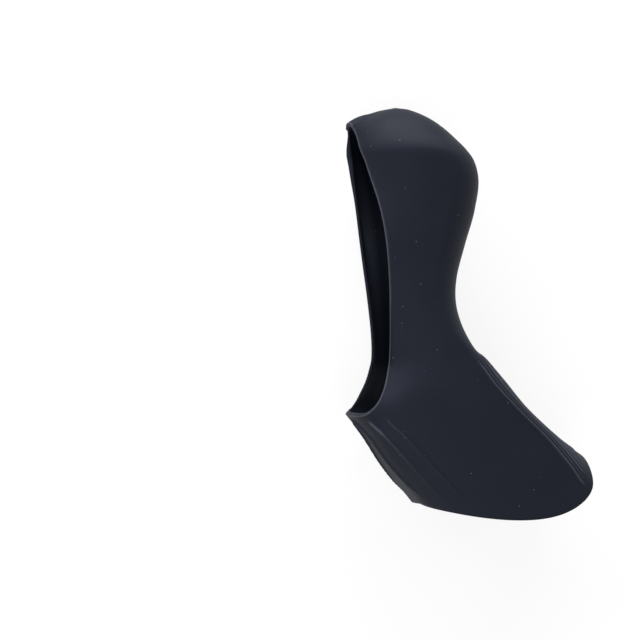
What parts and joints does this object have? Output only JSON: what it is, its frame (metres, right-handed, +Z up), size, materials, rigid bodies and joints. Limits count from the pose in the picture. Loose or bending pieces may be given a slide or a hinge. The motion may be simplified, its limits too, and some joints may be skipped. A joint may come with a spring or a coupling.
{
  "type": "brake lever hood",
  "caption": "Moulded rubber hood that slips over a drop-bar brake lever body: horn with a lever slot, slim neck, flared foot with a ribbed palm ramp and a mouth for the bar.",
  "frame": {"origin": "centre of the box that holds the hood, on the surface that it lies on", "axes": "+Z up, across the hood from flank to flank, +Y from the mouth at the handlebar to the horn, +X towards the palm side and -X towards the lever slot"},
  "size_m": [0.0712, 0.1222, 0.036],
  "materials": {
    "hood_rubber": "moulded matt black rubber"
  },
  "bodies": {
    "root": {"hood": "hood_rubber"}
  },
  "joints": []
}
